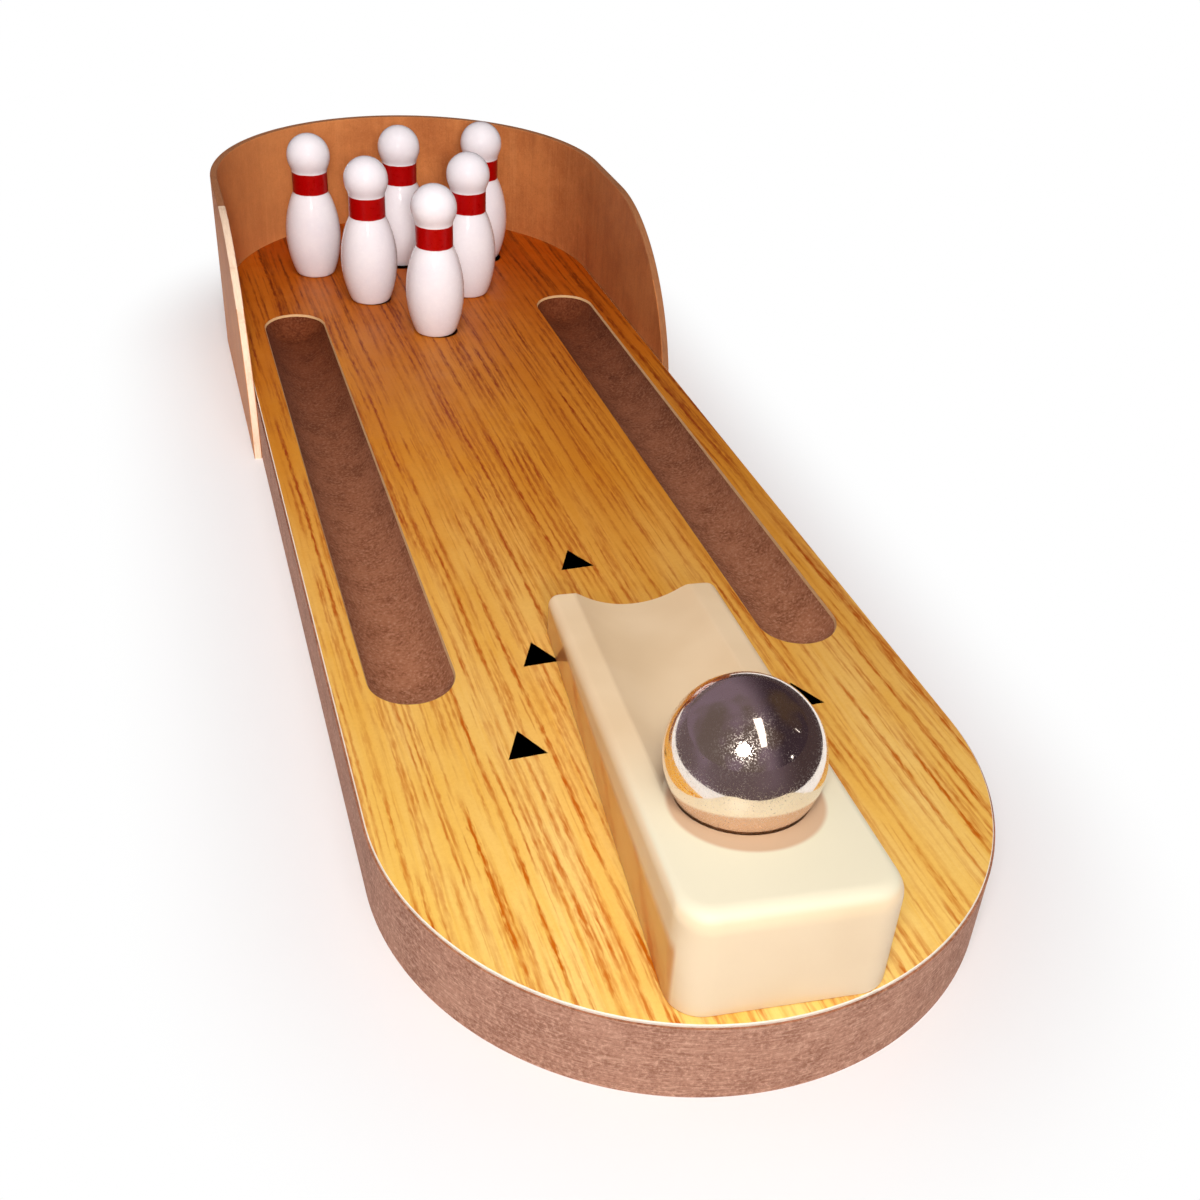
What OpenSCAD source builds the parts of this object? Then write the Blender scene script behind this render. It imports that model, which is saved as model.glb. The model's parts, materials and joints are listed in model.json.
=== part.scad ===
// Table bowling game. A fibreboard lane with round ends carries a printed
// top sheet and two round-bottomed gutters. A bent wood strip stands round
// the far end behind six pins. A moulded ramp with a ball trough turns on a
// screw at the near end. Millimetres. Y runs down the lane to the pins and
// Z is up. The origin is on the table, in the middle of the whole outline.

/* [Lane board] */
// Width of the board across the lane
board_w = 90; // [86:1:100]
// Length of the board along the lane
board_l = 278; // [260:1:320]
// Thickness of the fibreboard core
core_t = 12.7; // [10:0.1:16]
// Thickness of the printed sheet glued on the core
sheet_t = 0.5; // [0.3:0.1:1]
// How far the sheet's rim stands in from the core's rim
sheet_inset = 0.3; // [0.1:0.1:1]

/* [Gutters] */
// Width of a gutter at the lane's surface
gutter_w = 13.7; // [10:0.1:15]
// Depth of a gutter below the lane's surface
gutter_depth = 4.5; // [3:0.1:5]
// Lane left between a gutter and the board's side
gutter_margin = 5.75; // [4:0.25:8]
// Start of the gutters beyond the centre of the near round end
gutter_start = 30; // [26:1:40]
// End of the gutters before the centre of the far round end
gutter_stop = 22.8; // [18:0.2:40]

/* [Backstop] */
// Thickness of the bent wood strip
strip_t = 1.6; // [1.4:0.1:3]
// Height of the strip from the table to its top edge
strip_h = 40.7; // [36:0.1:46]
// Reach of the strip's two arms in front of the far round end's centre
strip_arm = 59.8; // [50:0.2:66]

/* [Pins] */
// Height of a pin
pin_h = 34; // [32:0.1:37]
// Diameter of the round head
head_d = 10.2; // [9.6:0.1:11.4]
// Diameter of the neck
neck_d = 8.4; // [7.4:0.1:9]
// Height at which the neck starts
neck_z = 20.3; // [19:0.1:21.5]
// Diameter of the belly
belly_d = 13.2; // [12.2:0.1:14.2]
// Height of the belly's widest place
belly_z = 9.8; // [9:0.1:10.5]
// Distance between neighbouring pins in a row
pin_pitch = 22.2; // [20:0.1:25]
// Distance between two rows of pins
row_pitch = 21.7; // [19:0.1:23]
// Place of the front pin before the centre of the far round end
front_pin = 31.3; // [28:0.1:34]
// How far from its spot a pin may stand, as set up by hand
pin_stray = 2; // [0:0.1:2]

/* [Printed marks] */
// Width and length of an arrow
arrow = 5.9; // [4:0.1:7]
// Diameter of a pin spot
spot_d = 8.4; // [7:0.1:10]
// Thickness of the ink layer
ink_t = 0.1; // [0.05:0.05:0.2]
// Small turn of the whole print on the board, in degrees
print_turn = 1.1; // [0:0.1:2]

/* [Ramp] */
// Length of the ramp
ramp_l = 79.5; // [74:0.5:86]
// Width of the ramp
ramp_w = 28; // [27:0.5:32]
// Height of the ramp at its near end
ramp_near_h = 16.2; // [15.5:0.1:18]
// Height of the ramp at its far end
ramp_far_h = 6.6; // [6:0.1:8]
// Angle of the ramp to the lane in the photographed pose, in degrees
ramp_turn = -5.2; // [-12:0.1:12]
// Radius of the trough's round bottom
trough_r = 15.25; // [13:0.25:17]
// Depth of the trough below the ramp's top
trough_depth = 3.4; // [2.6:0.1:3.8]
// Extra depth of the small dish that holds the ball
dish_depth = 1.2; // [0.4:0.1:1.6]
// Wall thickness of the moulding
wall = 2; // [1.5:0.1:2.4]

/* [Ball] */
// Diameter of the steel ball
ball_d = 20.6; // [19:0.1:22]

/* [Pivot] */
// Distance of the pivot behind the centre of the near round end
pivot_back = 20.5; // [16:0.5:24]
// Distance of the pivot from the ramp's near end
pivot_in = 22.5; // [18:0.5:26]
// Diameter of the screw's plain shank, which the ramp turns on
shank_d = 4; // [3.5:0.1:5]
// Diameter of the screw's thread
thread_d = 3; // [2.5:0.1:3.4]
// Diameter of the screw's head
screw_head_d = 7; // [6:0.1:8]
// Height of the screw's head
screw_head_h = 2.2; // [1.8:0.1:2.6]
// Outer diameter of the washer
washer_d = 9; // [8.5:0.1:10]
// Thickness of the washer
washer_t = 0.8; // [0.5:0.1:1]

/* [Fits] */
// Clearance round the turning shank, on the radius
run_fit = 0.07; // [0.03:0.01:0.1]
// Clearance between parts that move past each other
move_gap = 0.15; // [0.1:0.05:0.3]
// Clearance round a fixed screw or washer, on the radius
seat_gap = 0.03; // [0.02:0.01:0.05]

/* [Hidden] */
$fn = 96;
cut = 1;            // how far a cutting shape runs past the face it cuts
far_out = 200;      // a length longer than the ramp or the backstop

// Lane
lane_z = core_t + sheet_t;
round_r = board_w / 2;
mid_y = -strip_t / 2;
far_y = mid_y + board_l / 2 - round_r;
near_y = mid_y - board_l / 2 + round_r;

// Gutters: the round cutter's radius follows from width and depth
cove_r = (pow(gutter_w / 2, 2) + pow(gutter_depth, 2)) / (2 * gutter_depth);
gutter_x = round_r - gutter_margin - gutter_w / 2;
gutter_y0 = near_y + gutter_start;
gutter_y1 = far_y - gutter_stop;

// Places of the arrows and the pin spots, before the print's small turn.
// The print turns about a point on the centre line, some way before the pins.
print_back = 56;
print_y = far_y - print_back;
// Sideways place of each arrow, and its distance from the near round end's
// centre; all but the middle arrow come in pairs
arrow_rows = [[0, 56.2], [14, 31.5], [22.2, 11]];
// Pin spots, counted in half pitches sideways and in rows
spots = [[0, 0], [-1, 1], [1, 1], [-2, 2], [0, 2], [2, 2]];
// Way that each pin stands off its spot, as a share of the greatest stray
stray = [[-0.4, 0.2], [-0.3, 0.15], [0.6, -0.1], [0.25, -0.9], [0.4, 0.85], [-0.3, 0.85]];

// Pin outline: one arc runs from the neck over the belly to the foot
head_z = pin_h - head_d / 2;
belly_out = (belly_d - neck_d) / 2;
belly_r = (pow(belly_out, 2) + pow(neck_z - belly_z, 2)) / (2 * belly_out);

// Ramp, seen from its pivot: its own Y runs to the far end
ramp_y0 = -pivot_in;
ramp_y1 = ramp_l - pivot_in;
slope = atan((ramp_near_h - ramp_far_h) / ramp_l);
top_z = ramp_near_h - pivot_in * tan(slope);    // top height over the pivot
near_corner = 4.5;      // rounding of the two near corners in plan
far_corner = 1.8;       // rounding of the two far corners in plan
near_rim = 3;           // rounding of the near end's top edge
side_rim = 1.5;         // rounding of the two long top edges
far_rim = 1;            // rounding of the far end's top edge
lip_flat = 0.55;        // reach over the rail of the flat that breaks a lip
lip_in = 2;             // reach of that flat's plane into the trough
lip_slope = 20;         // slope of that flat across the ramp
rib_t = 1.4;            // thickness of a cross rib in the hollow underside
rib_places = [18, 36];  // cross ribs, counted from the pivot
boss_d = 8.5;           // round post that takes the screw

// The dish is a little wider than the ball, so the ball touches it in one
// place, straight below its centre
dish_slack = 0.4;
dish_r = ball_d / 2 + dish_slack;
dish_up = dish_r - trough_depth - dish_depth;   // above the sloping top
ball_gap = 0.01;
ball_y = dish_up * sin(slope);
ball_z = top_z + dish_up * cos(slope) - dish_slack + ball_gap;

// Pivot
pivot_y = near_y - pivot_back;
head_sink = 1;          // depth of the screw's head under the board's underside
well_play = 1;          // room round the washer, on the diameter
well_z = washer_t + screw_head_h + head_sink;
well_d = washer_d + well_play;
head_top = well_z - washer_t - seat_gap;
head_round = 1;         // rounding of the screw's head
shank_z1 = lane_z + move_gap;                   // where the shank meets the ramp
thread_l = 5.6;         // length of thread in the ramp's post
slot_w = 0.9;           // width, length and depth of the head's cross recess
slot_l = 4.2;
slot_h = 1.2;

function turned(p) = [
    p[0] * cos(print_turn) - (p[1] - print_y) * sin(print_turn),
    print_y + p[0] * sin(print_turn) + (p[1] - print_y) * cos(print_turn)];
function spot_place(i) = turned([spots[i][0] * pin_pitch / 2,
    far_y - front_pin + spots[i][1] * row_pitch]);

// Outline with two round ends
module stadium(w, l) {
    square([w, l - w], center = true);
    for (s = [-1, 1]) translate([0, s * (l - w) / 2]) circle(d = w);
}

// What the router takes out for the two gutters
module gutter_cuts() {
    for (s = [-1, 1]) translate([s * gutter_x, 0, lane_z - gutter_depth + cove_r]) {
        translate([0, gutter_y0, 0]) rotate([-90, 0, 0])
            cylinder(r = cove_r, h = gutter_y1 - gutter_y0);
        for (y = [gutter_y0, gutter_y1]) translate([0, y, 0]) sphere(r = cove_r);
    }
}

// Places a ramp piece on its pivot at the lane's surface
module on_pivot() {
    translate([0, pivot_y, lane_z]) rotate(ramp_turn) children();
}

// Tilts a shape with the ramp's top; its Z = 0 is then the sloping top
module on_slope() {
    translate([0, 0, top_z]) rotate([-slope, 0, 0]) children();
}

module base_board() color([0.52, 0.38, 0.30]) difference() {
    translate([0, mid_y, 0]) linear_extrude(core_t) stadium(board_w, board_l);
    gutter_cuts();
    translate([0, pivot_y, -cut])
        cylinder(r = shank_d / 2 + run_fit, h = lane_z + 2 * cut);
    translate([0, pivot_y, -cut]) cylinder(d = well_d, h = well_z + cut);
}

// Flat shapes of the print: five arrows and six pin spots
module print_shapes() {
    for (a = arrow_rows) for (s = a[0] == 0 ? [1] : [-1, 1])
        translate(turned([s * a[0], near_y + a[1]])) rotate(print_turn)
            polygon([[-arrow / 2, -arrow / 2], [arrow / 2, -arrow / 2], [0, arrow / 2]]);
    for (i = [0 : 5]) translate(spot_place(i)) circle(d = spot_d);
}

module lane_sheet() color([0.86, 0.62, 0.27]) difference() {
    translate([0, mid_y, core_t]) linear_extrude(sheet_t)
        stadium(board_w - 2 * sheet_inset, board_l - 2 * sheet_inset);
    gutter_cuts();
    translate([0, 0, lane_z - ink_t]) linear_extrude(ink_t + cut) print_shapes();
    translate([0, pivot_y, core_t - cut])
        cylinder(d = shank_d + 4 * run_fit, h = sheet_t + 2 * cut);
}

module lane_marks() color([0.06, 0.06, 0.06])
    translate([0, 0, lane_z - ink_t]) linear_extrude(ink_t) print_shapes();

// Side view of the backstop: both arms end in a quarter round as high as
// the strip
module strip_side() {
    tip = far_y - strip_arm;
    translate([tip + strip_h, 0]) square([far_out, strip_h]);
    intersection() {
        translate([tip + strip_h, 0]) circle(r = strip_h);
        translate([tip, 0]) square([strip_h, strip_h]);
    }
}

module backstop() color([0.66, 0.44, 0.27]) intersection() {
    linear_extrude(strip_h) difference() {
        union() {
            translate([0, far_y]) circle(r = round_r + strip_t);
            translate([-round_r - strip_t, far_y - far_out])
                square([2 * (round_r + strip_t), far_out]);
        }
        translate([0, far_y]) circle(r = round_r);
        translate([-round_r, far_y - far_out - cut])
            square([2 * round_r, far_out + cut]);
    }
    rotate([90, 0, 90]) linear_extrude(far_out, center = true) strip_side();
}

// Ramp block with upright sides, before its top is cut to the slope. The
// near end has round corners and a round top edge.
module ramp_block() {
    half = ramp_w / 2;
    // Far part, with small corners in plan
    linear_extrude(ramp_near_h) {
        translate([-half, ramp_y0 + near_corner])
            square([ramp_w, ramp_l - near_corner - far_corner]);
        translate([-half + far_corner, ramp_y0 + near_corner])
            square([ramp_w - 2 * far_corner, ramp_l - near_corner]);
        for (s = [-1, 1]) translate([s * (half - far_corner), ramp_y1 - far_corner])
            circle(r = far_corner);
    }
    // Near face between the corners
    rotate([90, 0, 90]) linear_extrude(ramp_w - 2 * near_corner, center = true) {
        translate([ramp_y0, 0]) square([near_corner, ramp_near_h - near_rim]);
        translate([ramp_y0 + near_rim, 0])
            square([near_corner - near_rim, ramp_near_h]);
        translate([ramp_y0 + near_rim, ramp_near_h - near_rim]) circle(r = near_rim);
    }
    // The two near corners
    for (s = [-1, 1]) translate([s * (half - near_corner), ramp_y0 + near_corner, 0])
        rotate_extrude() {
            square([near_corner, ramp_near_h - near_rim]);
            square([near_corner - near_rim, ramp_near_h]);
            intersection() {
                translate([near_corner - near_rim, ramp_near_h - near_rim])
                    circle(r = near_rim);
                square([near_corner, ramp_near_h]);
            }
        }
}

// Everything below the sloping top, with the long edges and the far edge
// rounded
module under_slope() {
    half = ramp_w / 2;
    deep = 2 * ramp_near_h;
    far_z = ramp_near_h - (ramp_l - far_rim) * tan(slope) - far_rim / cos(slope);
    intersection() {
        on_slope() rotate([90, 0, 0]) linear_extrude(far_out, center = true) {
            translate([-half, -deep]) square([ramp_w, deep - side_rim]);
            translate([-half + side_rim, -deep])
                square([ramp_w - 2 * side_rim, deep]);
            for (s = [-1, 1]) translate([s * (half - side_rim), -side_rim])
                circle(r = side_rim);
        }
        rotate([90, 0, 90]) linear_extrude(far_out, center = true) {
            translate([ramp_y0 - cut, 0]) square([ramp_l + cut - far_rim, deep]);
            translate([ramp_y0 - cut, 0]) square([ramp_l + cut, far_z]);
            translate([ramp_y1 - far_rim, far_z]) circle(r = far_rim);
        }
    }
}

// Cross-section that the trough takes out of the top. Each of its two lips
// is broken by a narrow flat.
module trough_shape() {
    lip_x = sqrt(pow(trough_r, 2) - pow(trough_r - trough_depth, 2));
    lip_fall = (lip_flat + lip_in) * tan(lip_slope);
    translate([0, trough_r - trough_depth]) circle(r = trough_r);
    for (s = [-1, 1]) polygon([[0, cut], [0, -lip_fall],
        [s * (lip_x - lip_in), -lip_fall],
        [s * (lip_x + lip_flat), 0], [s * (lip_x + lip_flat), cut]]);
}

// Trough, its round near end and the dish for the ball
module trough_cut() on_slope() {
    translate([0, far_out, 0]) rotate([90, 0, 0]) linear_extrude(far_out) trough_shape();
    rotate_extrude() intersection() {
        trough_shape();
        translate([0, -trough_r]) square([2 * trough_r, 4 * trough_r]);
    }
    translate([0, 0, dish_up]) sphere(r = dish_r);
}

// Hollow underside. It stays one wall away from the outside and from the
// trough, and leaves two cross ribs and the screw's post standing.
module ramp_hollow() difference() {
    intersection() {
        translate([-ramp_w / 2 + wall, ramp_y0 + wall, -cut])
            cube([ramp_w - 2 * wall, ramp_l - 2 * wall, ramp_near_h]);
        on_slope() translate([-ramp_w / 2, -far_out / 2, -far_out / 2 - wall])
            cube([ramp_w, far_out, far_out / 2]);
    }
    on_slope() translate([0, 0, trough_r - trough_depth]) {
        rotate([-90, 0, 0]) cylinder(r = trough_r + wall, h = far_out);
        sphere(r = trough_r + wall);
    }
    for (y = rib_places) translate([-ramp_w / 2, y, -2 * cut])
        cube([ramp_w, rib_t, ramp_near_h]);
    translate([0, 0, -2 * cut]) cylinder(d = boss_d, h = ramp_near_h);
}

module ramp() color([0.97, 0.89, 0.74]) on_pivot() translate([0, 0, move_gap])
    difference() {
        intersection() {
            ramp_block();
            under_slope();
        }
        trough_cut();
        ramp_hollow();
        translate([0, 0, -cut])
            cylinder(r = thread_d / 2 + seat_gap, h = thread_l + seat_gap + cut);
    }

// Shank and thread stand on a pan head with a cross recess
module pivot_screw() color([0.72, 0.73, 0.75]) translate([0, pivot_y, 0]) difference() {
    union() {
        rotate_extrude() translate([0, head_top - screw_head_h]) {
            translate([0, head_round])
                square([screw_head_d / 2, screw_head_h - head_round]);
            square([screw_head_d / 2 - head_round, screw_head_h]);
            intersection() {
                translate([screw_head_d / 2 - head_round, head_round])
                    circle(r = head_round);
                square([screw_head_d / 2, screw_head_h]);
            }
        }
        translate([0, 0, head_top - cut]) cylinder(d = shank_d, h = shank_z1 - head_top + cut);
        translate([0, 0, shank_z1 - cut]) cylinder(d = thread_d, h = thread_l + cut);
    }
    for (a = [45, 135]) rotate(a)
        translate([-slot_l / 2, -slot_w / 2, head_top - screw_head_h - cut])
            cube([slot_l, slot_w, slot_h + cut]);
}

module pivot_washer() color([0.78, 0.79, 0.80])
    translate([0, pivot_y, well_z - washer_t]) difference() {
        cylinder(d = washer_d, h = washer_t);
        translate([0, 0, -cut])
            cylinder(r = shank_d / 2 + 2 * run_fit, h = washer_t + 2 * cut);
    }

module ball() color([0.75, 0.76, 0.78]) on_pivot()
    translate([0, ball_y, ball_z + move_gap]) sphere(d = ball_d);

// Half outline of a pin
module pin_outline() intersection() {
    union() {
        translate([0, head_z]) circle(d = head_d);
        translate([0, neck_z]) square([neck_d / 2, head_z - neck_z]);
        intersection() {
            translate([belly_d / 2 - belly_r, belly_z]) circle(r = belly_r);
            square([belly_d / 2, neck_z]);
        }
    }
    square([belly_d, pin_h]);
}

module pin(i) color([0.96, 0.95, 0.96]) translate([0, 0, lane_z])
    translate(spot_place(i) + pin_stray * stray[i]) rotate_extrude() pin_outline();

module pin_1() pin(0);
module pin_2() pin(1);
module pin_3() pin(2);
module pin_4() pin(3);
module pin_5() pin(4);
module pin_6() pin(5);

base_board();
lane_sheet();
lane_marks();
backstop();
ramp();
pivot_screw();
pivot_washer();
ball();
pin_1();
pin_2();
pin_3();
pin_4();
pin_5();
pin_6();
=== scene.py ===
"""Looks of the table bowling game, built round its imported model. Lengths are metres."""

import json
import math

import bmesh
import bpy
from mathutils import Matrix, Vector

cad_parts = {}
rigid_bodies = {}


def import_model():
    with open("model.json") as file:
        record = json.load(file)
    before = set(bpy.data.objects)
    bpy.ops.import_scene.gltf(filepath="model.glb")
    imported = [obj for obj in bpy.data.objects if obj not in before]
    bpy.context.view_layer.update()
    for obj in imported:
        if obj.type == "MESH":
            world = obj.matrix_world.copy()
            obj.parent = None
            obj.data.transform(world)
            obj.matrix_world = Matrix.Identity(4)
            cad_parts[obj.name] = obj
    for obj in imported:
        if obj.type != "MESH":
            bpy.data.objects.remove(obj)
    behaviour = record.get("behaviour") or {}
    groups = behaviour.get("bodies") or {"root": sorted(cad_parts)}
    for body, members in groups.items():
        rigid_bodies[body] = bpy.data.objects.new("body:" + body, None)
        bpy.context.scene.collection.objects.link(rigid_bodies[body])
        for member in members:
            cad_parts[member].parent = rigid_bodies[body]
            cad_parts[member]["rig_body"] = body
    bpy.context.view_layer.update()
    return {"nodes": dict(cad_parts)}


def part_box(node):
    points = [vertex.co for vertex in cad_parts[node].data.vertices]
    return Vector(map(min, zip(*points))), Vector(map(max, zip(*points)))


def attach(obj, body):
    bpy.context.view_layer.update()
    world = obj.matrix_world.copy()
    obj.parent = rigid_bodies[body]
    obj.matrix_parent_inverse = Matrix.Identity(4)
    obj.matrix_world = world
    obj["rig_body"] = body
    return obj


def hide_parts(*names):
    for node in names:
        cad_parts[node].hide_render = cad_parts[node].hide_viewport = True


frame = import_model()

MM = 0.001

# How near a point has to lie to count as on a plane
CLOSE = 0.01 * MM

# How near two points have to lie to count as one
SAME_POINT = 0.001 * MM

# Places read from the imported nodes
BOARD_LOW, BOARD_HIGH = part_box("base_board")
SHEET_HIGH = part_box("lane_sheet")[1]
STRIP_LOW, STRIP_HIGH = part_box("backstop")
SCREW_LOW, SCREW_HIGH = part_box("pivot_screw")
WASHER_LOW, WASHER_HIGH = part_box("pivot_washer")
BALL_LOW, BALL_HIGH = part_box("ball")
RAMP_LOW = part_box("ramp")[0]

# Lane board and its two gutters
ROUND = BOARD_HIGH.x
FAR_Y = BOARD_HIGH.y - ROUND
NEAR_Y = BOARD_LOW.y + ROUND
CORE_TOP = BOARD_HIGH.z
LANE = SHEET_HIGH.z
CORE_EDGE = 0.25 * MM
SHEET_CHAMFER = 0.12 * MM
STRIP_EDGE = 0.3 * MM
BARE_FROM = FAR_Y - 12 * MM
GUTTER_X = 32.4 * MM
GUTTER_RADIUS = 7.46 * MM
GUTTER_DEPTH = 4.5 * MM
GUTTER_NEAR_Y = NEAR_Y + 30 * MM
GUTTER_FAR_Y = FAR_Y - 22.8 * MM

# Pivot of the ramp
PIVOT = (SCREW_LOW + SCREW_HIGH) / 2
SHANK_HOLE = 2.07 * MM
SHEET_HOLE = 2.14 * MM
WELL_RADIUS = 5 * MM
HEAD_RADIUS = 3.5 * MM
HEAD_HEIGHT = 2.2 * MM
HEAD_ROUND = 1 * MM
SHANK_RADIUS = 2 * MM
SHANK_TOP = LANE + 0.15 * MM
THREAD_RADIUS = 1.5 * MM
THREAD_ROOT = 0.82
THREAD_PITCH = 0.5 * MM
THREAD_TURNS = 11
RECESS_SIZE = Vector((4.2, 0.9, 1.2)) * MM

# Ramp, in its own frame: the pivot is at the origin and Y runs to the far end
RAMP_TURN = math.radians(-5.2)
RAMP_LENGTH = 79.5 * MM
RAMP_WIDTH = 28 * MM
RAMP_NEAR_HEIGHT = 16.2 * MM
RAMP_FAR_HEIGHT = 6.6 * MM
RAMP_NEAR = -22.5 * MM
RAMP_FAR = RAMP_NEAR + RAMP_LENGTH
SLOPE = math.atan((RAMP_NEAR_HEIGHT - RAMP_FAR_HEIGHT) / RAMP_LENGTH)
RAMP_TOP = RAMP_NEAR_HEIGHT + RAMP_NEAR * math.tan(SLOPE)
RAMP_REST = RAMP_LOW.z
RAMP_NEAR_CORNER = 4.5 * MM
RAMP_FAR_CORNER = 1.8 * MM
RAMP_NEAR_RIM = 3 * MM
RAMP_SIDE_RIM = 1.5 * MM
RAMP_FAR_RIM = 1 * MM
TROUGH_RADIUS = 15.25 * MM
TROUGH_DEPTH = 3.4 * MM
TROUGH_LIP = 1.5 * MM
DISH_RADIUS = 10.7 * MM
DISH_DEPTH = 1.2 * MM
RAMP_WALL = 2 * MM
RIB_PLACES = (18 * MM, 36 * MM)
RIB_THICKNESS = 1.4 * MM
SCREW_POST_RADIUS = 4.25 * MM
SCREW_HOLE = 1.53 * MM
SCREW_HOLE_TOP = 5.63 * MM
BALL_X, BALL_Y = ((BALL_LOW + BALL_HIGH) / 2).xy

# Pin, with heights above the lane
PIN_HEIGHT = 34 * MM
PIN_HEAD = 5.1 * MM
PIN_NECK = 4.2 * MM
PIN_NECK_Z = 20.3 * MM
PIN_BELLY = 6.6 * MM
PIN_BELLY_Z = 9.8 * MM
PIN_BAND = (20.4 * MM, 25.3 * MM)
PIN_FOOT = 0.5 * MM
PIN_FILLET = 0.25 * MM
PINS = ["pin_1", "pin_2", "pin_3", "pin_4", "pin_5", "pin_6"]


# Modelling helpers


def let_go():
    """Deselects everything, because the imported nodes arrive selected."""
    bpy.ops.object.select_all(action="DESELECT")


def take(piece):
    """Makes one piece the selected and active one."""
    let_go()
    piece.select_set(True)
    bpy.context.view_layer.objects.active = piece


def settle(piece):
    """Puts a piece's place, turn and size into its mesh."""
    take(piece)
    bpy.ops.object.transform_apply(location=True, rotation=True, scale=True)


def start(name, primitive, **size):
    """Adds a primitive at its size and place, as the start of a piece."""
    let_go()
    primitive(**size)
    piece = bpy.context.active_object
    piece.name = piece.data.name = name
    settle(piece)
    return piece


def shape(piece):
    """Opens a piece for work on its mesh, with everything in it selected."""
    take(piece)
    bpy.ops.object.mode_set(mode="EDIT")
    bpy.ops.mesh.select_all(action="SELECT")


def done():
    """Leaves the work on a mesh."""
    bpy.ops.object.mode_set(mode="OBJECT")


def middle(part):
    """Middle of an edge or a face."""
    if isinstance(part, bmesh.types.BMEdge):
        return (part.verts[0].co + part.verts[1].co) / 2
    return part.calc_center_median()


def pick(kind, test):
    """Selects the vertices, edges or faces that pass a test, and nothing else."""
    bpy.ops.mesh.select_mode(type={"verts": "VERT", "edges": "EDGE", "faces": "FACE"}[kind])
    bpy.ops.mesh.select_all(action="DESELECT")
    mesh = bmesh.from_edit_mesh(bpy.context.active_object.data)
    for part in getattr(mesh, kind):
        if test(part):
            part.select_set(True)
    bmesh.update_edit_mesh(bpy.context.active_object.data)


def pull(vector):
    """Extrudes the selected faces by a vector."""
    bpy.ops.mesh.extrude_region_move(TRANSFORM_OT_translate={"value": tuple(vector)})


def weld():
    """Joins the points of the edited mesh that lie on each other."""
    bpy.ops.mesh.select_all(action="SELECT")
    bpy.ops.mesh.remove_doubles(threshold=SAME_POINT)


def move(piece, matrix):
    """Moves and turns a finished mesh."""
    piece.matrix_world = matrix
    settle(piece)
    return piece


def modify(piece, kind, **settings):
    """Gives a piece a modifier with its settings and applies it."""
    modifier = piece.modifiers.new(kind.lower(), kind)
    for name, value in settings.items():
        setattr(modifier, name, value)
    take(piece)
    bpy.ops.object.modifier_apply(modifier=modifier.name)


def carve(piece, cutter, how="DIFFERENCE"):
    """Cuts a piece with a cutter, or keeps only what the two share."""
    modify(piece, "BOOLEAN", object=cutter, operation=how, solver="EXACT")
    bpy.data.objects.remove(cutter)


def soften(piece, width, angle, segments):
    """Rounds every edge that is sharper than an angle in degrees."""
    modify(piece, "BEVEL", width=width, segments=segments, limit_method="ANGLE",
           angle_limit=math.radians(angle))


def smooth(piece, angle=35):
    """Shades a piece smooth, with its flat faces kept flat."""
    take(piece)
    bpy.ops.object.shade_smooth_by_angle(angle=math.radians(angle))
    modify(piece, "WEIGHTED_NORMAL", keep_sharp=True, weight=60)


def post(name, radius, low, high, centre=(0, 0), sides=64):
    """An upright cylinder between two heights."""
    return start(name, bpy.ops.mesh.primitive_cylinder_add, vertices=sides, radius=radius,
                 depth=high - low, location=(centre[0], centre[1], (low + high) / 2))


def round_block(name, radius, low, high, reach):
    """A block with a round far end, whose near half is pulled out from there by reach."""
    block = post(name, radius, low, high, (0, FAR_Y), 192)
    shape(block)
    bpy.ops.mesh.bisect(plane_co=(0, FAR_Y, 0), plane_no=(0, 1, 0))
    pick("faces", lambda face: middle(face).y < FAR_Y)
    pull((0, -reach, 0))
    done()
    return block


def gutter_cutter(side):
    """A ball-ended bar, as the router leaves it."""
    bar = start("gutter_bar", bpy.ops.mesh.primitive_uv_sphere_add, segments=64, ring_count=32,
                radius=GUTTER_RADIUS, rotation=(math.pi / 2, 0, 0),
                location=(side * GUTTER_X, GUTTER_FAR_Y, LANE - GUTTER_DEPTH + GUTTER_RADIUS))
    shape(bar)
    pick("faces", lambda face: middle(face).y < GUTTER_FAR_Y)
    pull((0, GUTTER_NEAR_Y - GUTTER_FAR_Y, 0))
    done()
    return bar


def slab(name, low, high):
    """A block between two corners."""
    low, high = Vector(low), Vector(high)
    return start(name, bpy.ops.mesh.primitive_cube_add, size=1, location=(low + high) / 2,
                 scale=high - low)


# Material helpers


def rgb(red, green, blue):
    """A colour given as it shows on a screen, from 0 to 255."""
    def linear(value):
        value /= 255
        return value / 12.92 if value <= 0.04045 else ((value + 0.055) / 1.055) ** 2.4
    return (linear(red), linear(green), linear(blue), 1)


def feed(tree, socket, value):
    """Links another node's output to a socket, or sets the socket's value."""
    if isinstance(value, bpy.types.NodeSocket):
        tree.links.new(value, socket)
    else:
        socket.default_value = value


def put(tree, kind, inputs=None, **settings):
    """Adds a node, with its settings and its inputs."""
    made = tree.nodes.new("ShaderNode" + kind)
    for name, value in settings.items():
        setattr(made, name, value)
    for name, value in (inputs or {}).items():
        feed(tree, made.inputs[name], value)
    return made


def calc(tree, operation, first, second=0.0, third=0.0, clamp=False):
    """One step of arithmetic."""
    return put(tree, "Math", {0: first, 1: second, 2: third}, operation=operation,
               use_clamp=clamp).outputs[0]


def times(tree, first, second):
    """The product of two values."""
    return calc(tree, "MULTIPLY", first, second)


def span(tree, value, low, high, to_low=0.0, to_high=1.0):
    """Moves a value from one range to another, softly and without passing its ends."""
    return put(tree, "MapRange", {"Value": value, "From Min": low, "From Max": high,
                                  "To Min": to_low, "To Max": to_high},
               interpolation_type="SMOOTHSTEP").outputs[0]


def climb(tree, value, low, high):
    """Goes evenly from 0 to 1 while a value goes from low to high."""
    return put(tree, "MapRange", {"Value": value, "From Min": low, "From Max": high}).outputs[0]


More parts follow.
